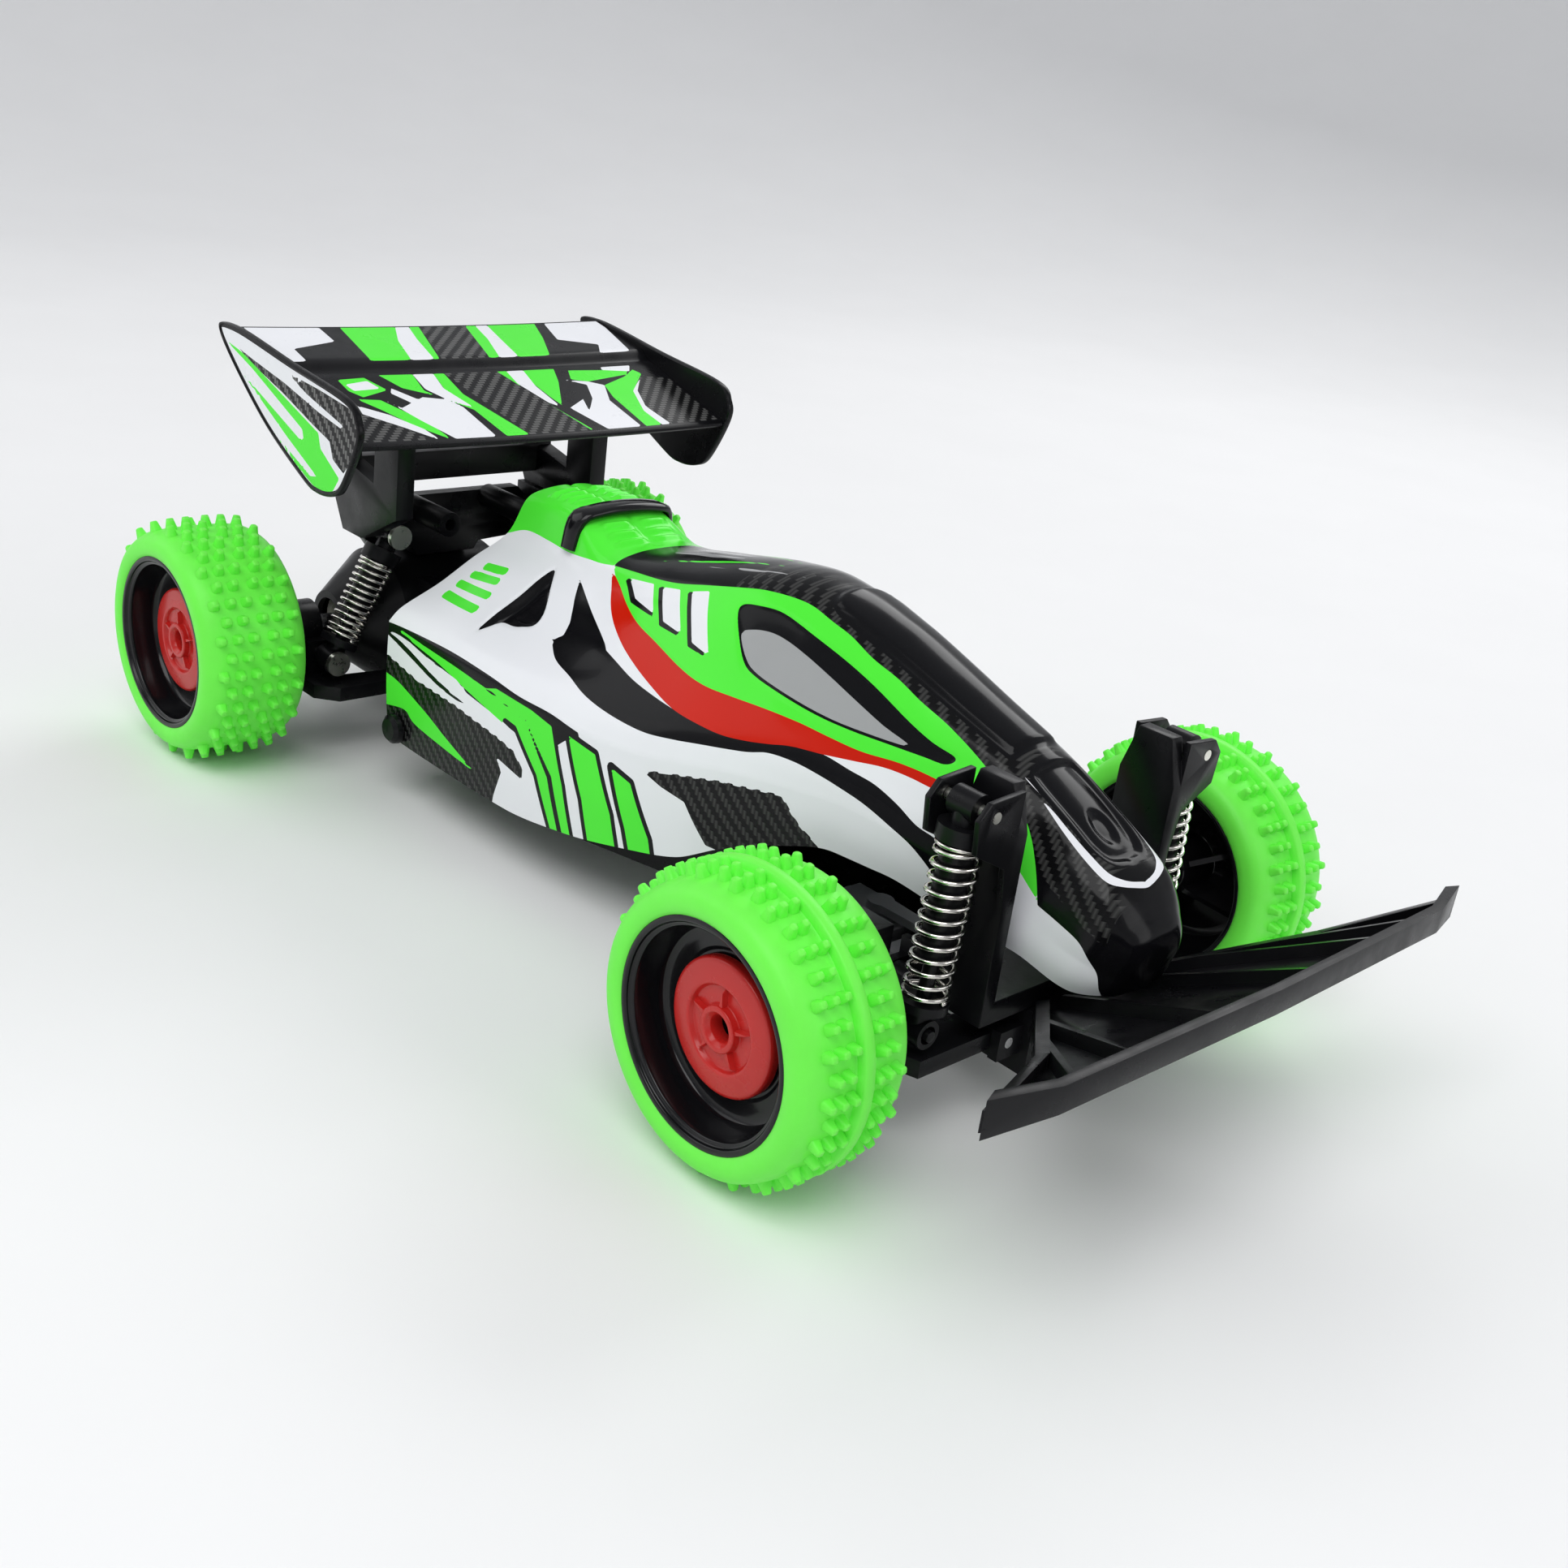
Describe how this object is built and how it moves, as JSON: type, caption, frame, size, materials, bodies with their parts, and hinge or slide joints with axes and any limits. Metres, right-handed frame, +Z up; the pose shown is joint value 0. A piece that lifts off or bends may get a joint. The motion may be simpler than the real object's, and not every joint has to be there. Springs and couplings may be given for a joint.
{
  "type": "remote control car",
  "caption": "Radio-controlled off-road buggy with a closed shell, rear wing, four coil-over shocks, studded tyres, steered front wheels and geared rear drive.",
  "frame": {"origin": "on the ground, at the middle of the car's length and width", "axes": "+X forward to the nose, +Y to the car's left, +Z up"},
  "size_m": [0.409, 0.211, 0.1438],
  "materials": {
    "black_plastic": "satin moulded black plastic",
    "shell": "glossy white shell with printed livery",
    "wing": "satin black plastic with printed stickers",
    "green_rubber": "bright green soft rubber",
    "rim_black": "glossy black plastic",
    "hub_red": "satin red plastic",
    "spring_steel": "bright nickel-plated spring wire",
    "screw_steel": "zinc-plated steel",
    "steel": "bare steel",
    "grey_plastic": "plain grey plastic",
    "gear_plastic": "natural white nylon",
    "board": "green fibreglass board",
    "cells": "blue shrink sleeve"
  },
  "bodies": {
    "chassis": {"chassis_tub": "black_plastic", "body_shell": "shell", "front_bumper": "black_plastic", "front_shock_tower": "black_plastic", "rear_shock_tower": "black_plastic", "wing_support": "black_plastic", "rear_wing": "wing", "gearbox_left": "black_plastic", "gearbox_right": "black_plastic", "motor": "steel", "circuit_board": "board", "battery_pack": "cells", "steering_servo": "grey_plastic", "shell_pegs": "black_plastic", "front_hinge_pins": "steel", "rear_hinge_pins": "steel", "shock_top_screws": "screw_steel"},
    "front_arm_left_body": {"front_arm_left": "black_plastic"},
    "knuckle_left_body": {"knuckle_left": "black_plastic"},
    "front_wheel_left": {"front_tyre_left": "green_rubber", "front_rim_left": "rim_black", "front_hub_disc_left": "hub_red"},
    "rear_arm_left_body": {"rear_arm_left": "black_plastic", "rear_shock_screw_left": "screw_steel"},
    "rear_wheel_left": {"rear_tyre_left": "green_rubber", "rear_rim_left": "rim_black", "rear_hub_disc_left": "hub_red", "drive_shaft_left": "steel"},
    "front_damper_left": {"front_shock_body_left": "black_plastic", "front_shock_spring_left": "spring_steel"},
    "front_plunger_left": {"front_shock_rod_left": "black_plastic"},
    "rear_damper_left": {"rear_shock_body_left": "black_plastic", "rear_shock_spring_left": "spring_steel"},
    "rear_plunger_left": {"rear_shock_rod_left": "black_plastic"},
    "tie_left": {"tie_rod_left": "grey_plastic"},
    "front_arm_right_body": {"front_arm_right": "black_plastic"},
    "knuckle_right_body": {"knuckle_right": "black_plastic"},
    "front_wheel_right": {"front_tyre_right": "green_rubber", "front_rim_right": "rim_black", "front_hub_disc_right": "hub_red"},
    "rear_arm_right_body": {"rear_arm_right": "black_plastic", "rear_shock_screw_right": "screw_steel"},
    "rear_wheel_right": {"rear_tyre_right": "green_rubber", "rear_rim_right": "rim_black", "rear_hub_disc_right": "hub_red", "drive_shaft_right": "steel"},
    "front_damper_right": {"front_shock_body_right": "black_plastic", "front_shock_spring_right": "spring_steel"},
    "front_plunger_right": {"front_shock_rod_right": "black_plastic"},
    "rear_damper_right": {"rear_shock_body_right": "black_plastic", "rear_shock_spring_right": "spring_steel"},
    "rear_plunger_right": {"rear_shock_rod_right": "black_plastic"},
    "tie_right": {"tie_rod_right": "grey_plastic"},
    "horn": {"servo_horn": "grey_plastic"},
    "link": {"centre_link": "grey_plastic"},
    "drive": {"drive_gear": "gear_plastic"},
    "idler": {"idler_gear": "gear_plastic"},
    "pinion": {"motor_pinion": "steel"},
    "door": {"battery_door": "black_plastic"},
    "switch": {"power_switch": "grey_plastic"}
  },
  "joints": [
    {"name": "front_left_suspension", "type": "hinge", "parent": "chassis", "child": "front_arm_left_body", "pos_m": [0.1195, 0.02, 0.0245], "axis": [1, 0, 0], "range_deg": [-5, 9], "stiffness_Nm_per_rad": 1.6, "springref_deg": -5.73},
    {"name": "front_left_shock_swing", "type": "hinge", "parent": "chassis", "child": "front_damper_left", "pos_m": [0.1365, 0.0424, 0.093], "axis": [1, 0, 0], "range_deg": [-0.98, 0.56]},
    {"name": "front_left_shock_travel", "type": "slide", "parent": "front_damper_left", "child": "front_plunger_left", "axis": [0, -0.083, 0.9965], "range_m": [-0.00249, 0.00445], "deforming": ["front_shock_spring_left"]},
    {"name": "rear_left_suspension", "type": "hinge", "parent": "chassis", "child": "rear_arm_left_body", "pos_m": [-0.1645, 0.02, 0.0245], "axis": [1, 0, 0], "range_deg": [-5, 9], "stiffness_Nm_per_rad": 1.8, "springref_deg": -6.88},
    {"name": "rear_left_shock_swing", "type": "hinge", "parent": "chassis", "child": "rear_damper_left", "pos_m": [-0.1455, 0.0271, 0.0766], "axis": [1, 0, 0], "range_deg": [-0.65, 1.13]},
    {"name": "rear_left_shock_travel", "type": "slide", "parent": "rear_damper_left", "child": "rear_plunger_left", "axis": [0, -0.4644, 0.8856], "range_m": [-0.00271, 0.00484], "deforming": ["rear_shock_spring_left"]},
    {"name": "left_steer", "type": "hinge", "parent": "front_arm_left_body", "child": "knuckle_left_body", "pos_m": [0.1195, 0.06, 0.04], "axis": [0, 0, 1], "range_deg": [-20, 20]},
    {"name": "front_left_spin", "type": "hinge", "parent": "knuckle_left_body", "child": "front_wheel_left", "pos_m": [0.1195, 0.088, 0.04], "axis": [0, 1, 0], "continuous": true},
    {"name": "rear_left_spin", "type": "hinge", "parent": "rear_arm_left_body", "child": "rear_wheel_left", "pos_m": [-0.1645, 0.085, 0.0405], "axis": [0, 1, 0], "continuous": true},
    {"name": "tie_left_swing", "type": "hinge", "parent": "link", "child": "tie_left", "pos_m": [0.097, 0.02, 0.0245], "axis": [1, 0, 0], "range_deg": [-5.1, 9.1]},
    {"name": "front_right_suspension", "type": "hinge", "parent": "chassis", "child": "front_arm_right_body", "pos_m": [0.1195, -0.02, 0.0245], "axis": [-1, 0, 0], "range_deg": [-5, 9], "stiffness_Nm_per_rad": 1.6, "springref_deg": -5.73},
    {"name": "front_right_shock_swing", "type": "hinge", "parent": "chassis", "child": "front_damper_right", "pos_m": [0.1365, -0.0424, 0.093], "axis": [-1, 0, 0], "range_deg": [-0.98, 0.56]},
    {"name": "front_right_shock_travel", "type": "slide", "parent": "front_damper_right", "child": "front_plunger_right", "axis": [0, 0.083, 0.9965], "range_m": [-0.00249, 0.00445], "deforming": ["front_shock_spring_right"]},
    {"name": "rear_right_suspension", "type": "hinge", "parent": "chassis", "child": "rear_arm_right_body", "pos_m": [-0.1645, -0.02, 0.0245], "axis": [-1, 0, 0], "range_deg": [-5, 9], "stiffness_Nm_per_rad": 1.8, "springref_deg": -6.88},
    {"name": "rear_right_shock_swing", "type": "hinge", "parent": "chassis", "child": "rear_damper_right", "pos_m": [-0.1455, -0.0271, 0.0766], "axis": [-1, 0, 0], "range_deg": [-0.65, 1.13]},
    {"name": "rear_right_shock_travel", "type": "slide", "parent": "rear_damper_right", "child": "rear_plunger_right", "axis": [0, 0.4644, 0.8856], "range_m": [-0.00271, 0.00484], "deforming": ["rear_shock_spring_right"]},
    {"name": "right_steer", "type": "hinge", "parent": "front_arm_right_body", "child": "knuckle_right_body", "pos_m": [0.1195, -0.06, 0.04], "axis": [0, 0, 1], "range_deg": [-20, 20]},
    {"name": "front_right_spin", "type": "hinge", "parent": "knuckle_right_body", "child": "front_wheel_right", "pos_m": [0.1195, -0.088, 0.04], "axis": [0, 1, 0], "continuous": true},
    {"name": "rear_right_spin", "type": "hinge", "parent": "rear_arm_right_body", "child": "rear_wheel_right", "pos_m": [-0.1645, -0.085, 0.0405], "axis": [0, 1, 0], "continuous": true},
    {"name": "tie_right_swing", "type": "hinge", "parent": "link", "child": "tie_right", "pos_m": [0.097, -0.02, 0.0245], "axis": [-1, 0, 0], "range_deg": [-5.1, 9.1]},
    {"name": "link_slide", "type": "slide", "parent": "chassis", "child": "link", "axis": [0, 1, 0], "range_m": [-0.008, 0.008]},
    {"name": "horn_turn", "type": "hinge", "parent": "chassis", "child": "horn", "pos_m": [0.078, 0, 0.0285], "axis": [0, 0, 1], "range_deg": [-25, 25]},
    {"name": "drive_spin", "type": "hinge", "parent": "chassis", "child": "drive", "pos_m": [-0.1645, 0, 0.0405], "axis": [0, 1, 0], "continuous": true},
    {"name": "idler_spin", "type": "hinge", "parent": "chassis", "child": "idler", "pos_m": [-0.1437, -0.008, 0.0405], "axis": [0, 1, 0], "continuous": true},
    {"name": "pinion_spin", "type": "hinge", "parent": "chassis", "child": "pinion", "pos_m": [-0.1245, -0.01, 0.0405], "axis": [0, 1, 0], "continuous": true},
    {"name": "battery_door_hinge", "type": "hinge", "parent": "chassis", "child": "door", "pos_m": [-0.0288, 0, 0.015], "axis": [0, -1, 0], "range_deg": [0, 85]},
    {"name": "power_switch_slide", "type": "slide", "parent": "chassis", "child": "switch", "axis": [1, 0, 0], "range_m": [0, 0.004]}
  ],
  "couplings": [
    {"joint": "front_left_shock_swing", "follows": "front_left_suspension", "ratio": -0.1029},
    {"joint": "front_left_shock_travel", "follows": "front_left_suspension", "m_per_rad": 0.028011},
    {"joint": "rear_left_shock_swing", "follows": "rear_left_suspension", "ratio": 0.11963},
    {"joint": "rear_left_shock_travel", "follows": "rear_left_suspension", "m_per_rad": 0.030483},
    {"joint": "tie_left_swing", "follows": "front_left_suspension", "ratio": 1},
    {"joint": "front_right_shock_swing", "follows": "front_right_suspension", "ratio": -0.1029},
    {"joint": "front_right_shock_travel", "follows": "front_right_suspension", "m_per_rad": 0.028011},
    {"joint": "rear_right_shock_swing", "follows": "rear_right_suspension", "ratio": 0.11963},
    {"joint": "rear_right_shock_travel", "follows": "rear_right_suspension", "m_per_rad": 0.030483},
    {"joint": "tie_right_swing", "follows": "front_right_suspension", "ratio": 1},
    {"joint": "right_steer", "follows": "left_steer", "ratio": 1},
    {"joint": "link_slide", "follows": "left_steer", "m_per_rad": -0.022046},
    {"joint": "horn_turn", "follows": "left_steer", "ratio": -1.1946},
    {"joint": "rear_right_spin", "follows": "rear_left_spin", "ratio": 1},
    {"joint": "drive_spin", "follows": "rear_left_spin", "ratio": 1},
    {"joint": "idler_spin", "follows": "rear_left_spin", "ratio": -2.7143},
    {"joint": "pinion_spin", "follows": "rear_left_spin", "ratio": 8.1429}
  ]
}
